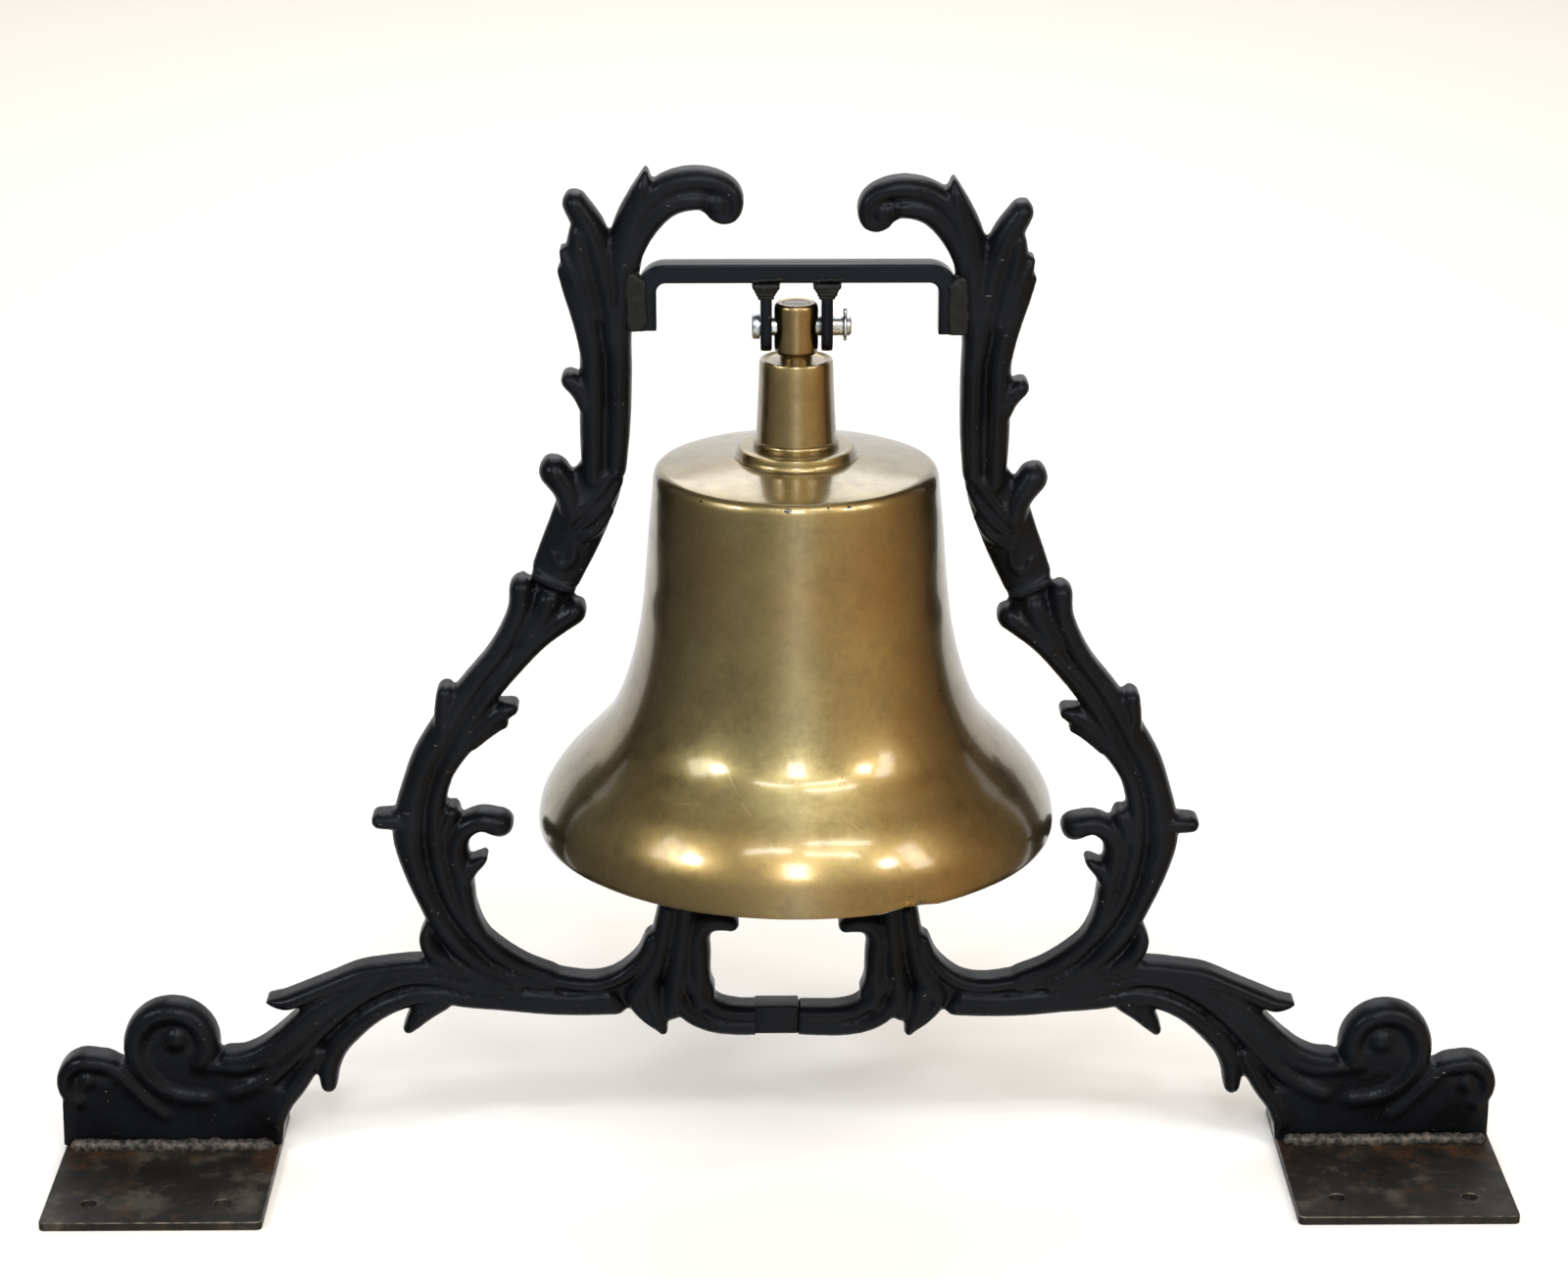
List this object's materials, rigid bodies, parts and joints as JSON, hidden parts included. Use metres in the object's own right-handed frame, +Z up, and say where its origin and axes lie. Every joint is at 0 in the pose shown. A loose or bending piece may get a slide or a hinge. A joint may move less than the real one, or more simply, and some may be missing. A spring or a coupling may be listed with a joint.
{
  "type": "standing bell on a scrolled iron frame",
  "caption": "Bronze bell hung by a clevis pin between scrolled cast iron castings that stand on drilled foot plates, with a clapper.",
  "frame": {"origin": "on the floor, midway between the outermost scrolls, in the vertical plane of the bell's axis", "axes": "+X along the frame from the left foot to the right foot, +Y to the rear, +Z up"},
  "size_m": [1.0224, 0.3556, 0.7096],
  "materials": {
    "black_iron": "satin black paint over cast iron, pitted",
    "bar_paint": "gloss black paint, chipped",
    "plate_steel": "worn dark steel with rust",
    "weld_metal": "lumpy weld, painted over",
    "bell_bronze": "aged satin bronze with olive mottling",
    "stud_bronze": "rubbed bronze",
    "zinc_plate": "dull zinc plate",
    "forged_iron": "forged iron, oiled"
  },
  "bodies": {
    "frame": {"left_casting": "black_iron", "right_casting": "black_iron", "centre_splice": "black_iron", "left_foot_plate": "plate_steel", "right_foot_plate": "plate_steel", "left_foot_weld_front": "weld_metal", "left_foot_weld_rear": "weld_metal", "right_foot_weld_front": "weld_metal", "right_foot_weld_rear": "weld_metal", "cross_bar": "bar_paint", "left_bar_weld": "weld_metal", "right_bar_weld": "weld_metal", "left_lug": "bar_paint", "right_lug": "bar_paint", "left_lug_weld": "weld_metal", "right_lug_weld": "weld_metal", "clevis_pin": "zinc_plate", "cotter_pin": "zinc_plate"},
    "bell": {"bell": "bell_bronze", "hanger_stud": "stud_bronze", "stud_washer": "bell_bronze", "stud_nut": "bell_bronze", "clapper_fork": "bell_bronze", "clapper_pin": "zinc_plate", "clapper_cotter": "zinc_plate"},
    "clapper": {"clapper_rod": "forged_iron", "clapper_ball": "forged_iron", "clapper_nut": "forged_iron"}
  },
  "joints": [
    {"name": "bell_swing", "type": "hinge", "parent": "frame", "child": "bell", "pos_m": [0.0127, 0, 0.6026], "axis": [1, 0, 0], "range_deg": [-100, 100]},
    {"name": "clapper_swing", "type": "hinge", "parent": "bell", "child": "clapper", "pos_m": [0.0127, 0, 0.452], "axis": [1, 0, 0], "range_deg": [-32, 32]}
  ]
}
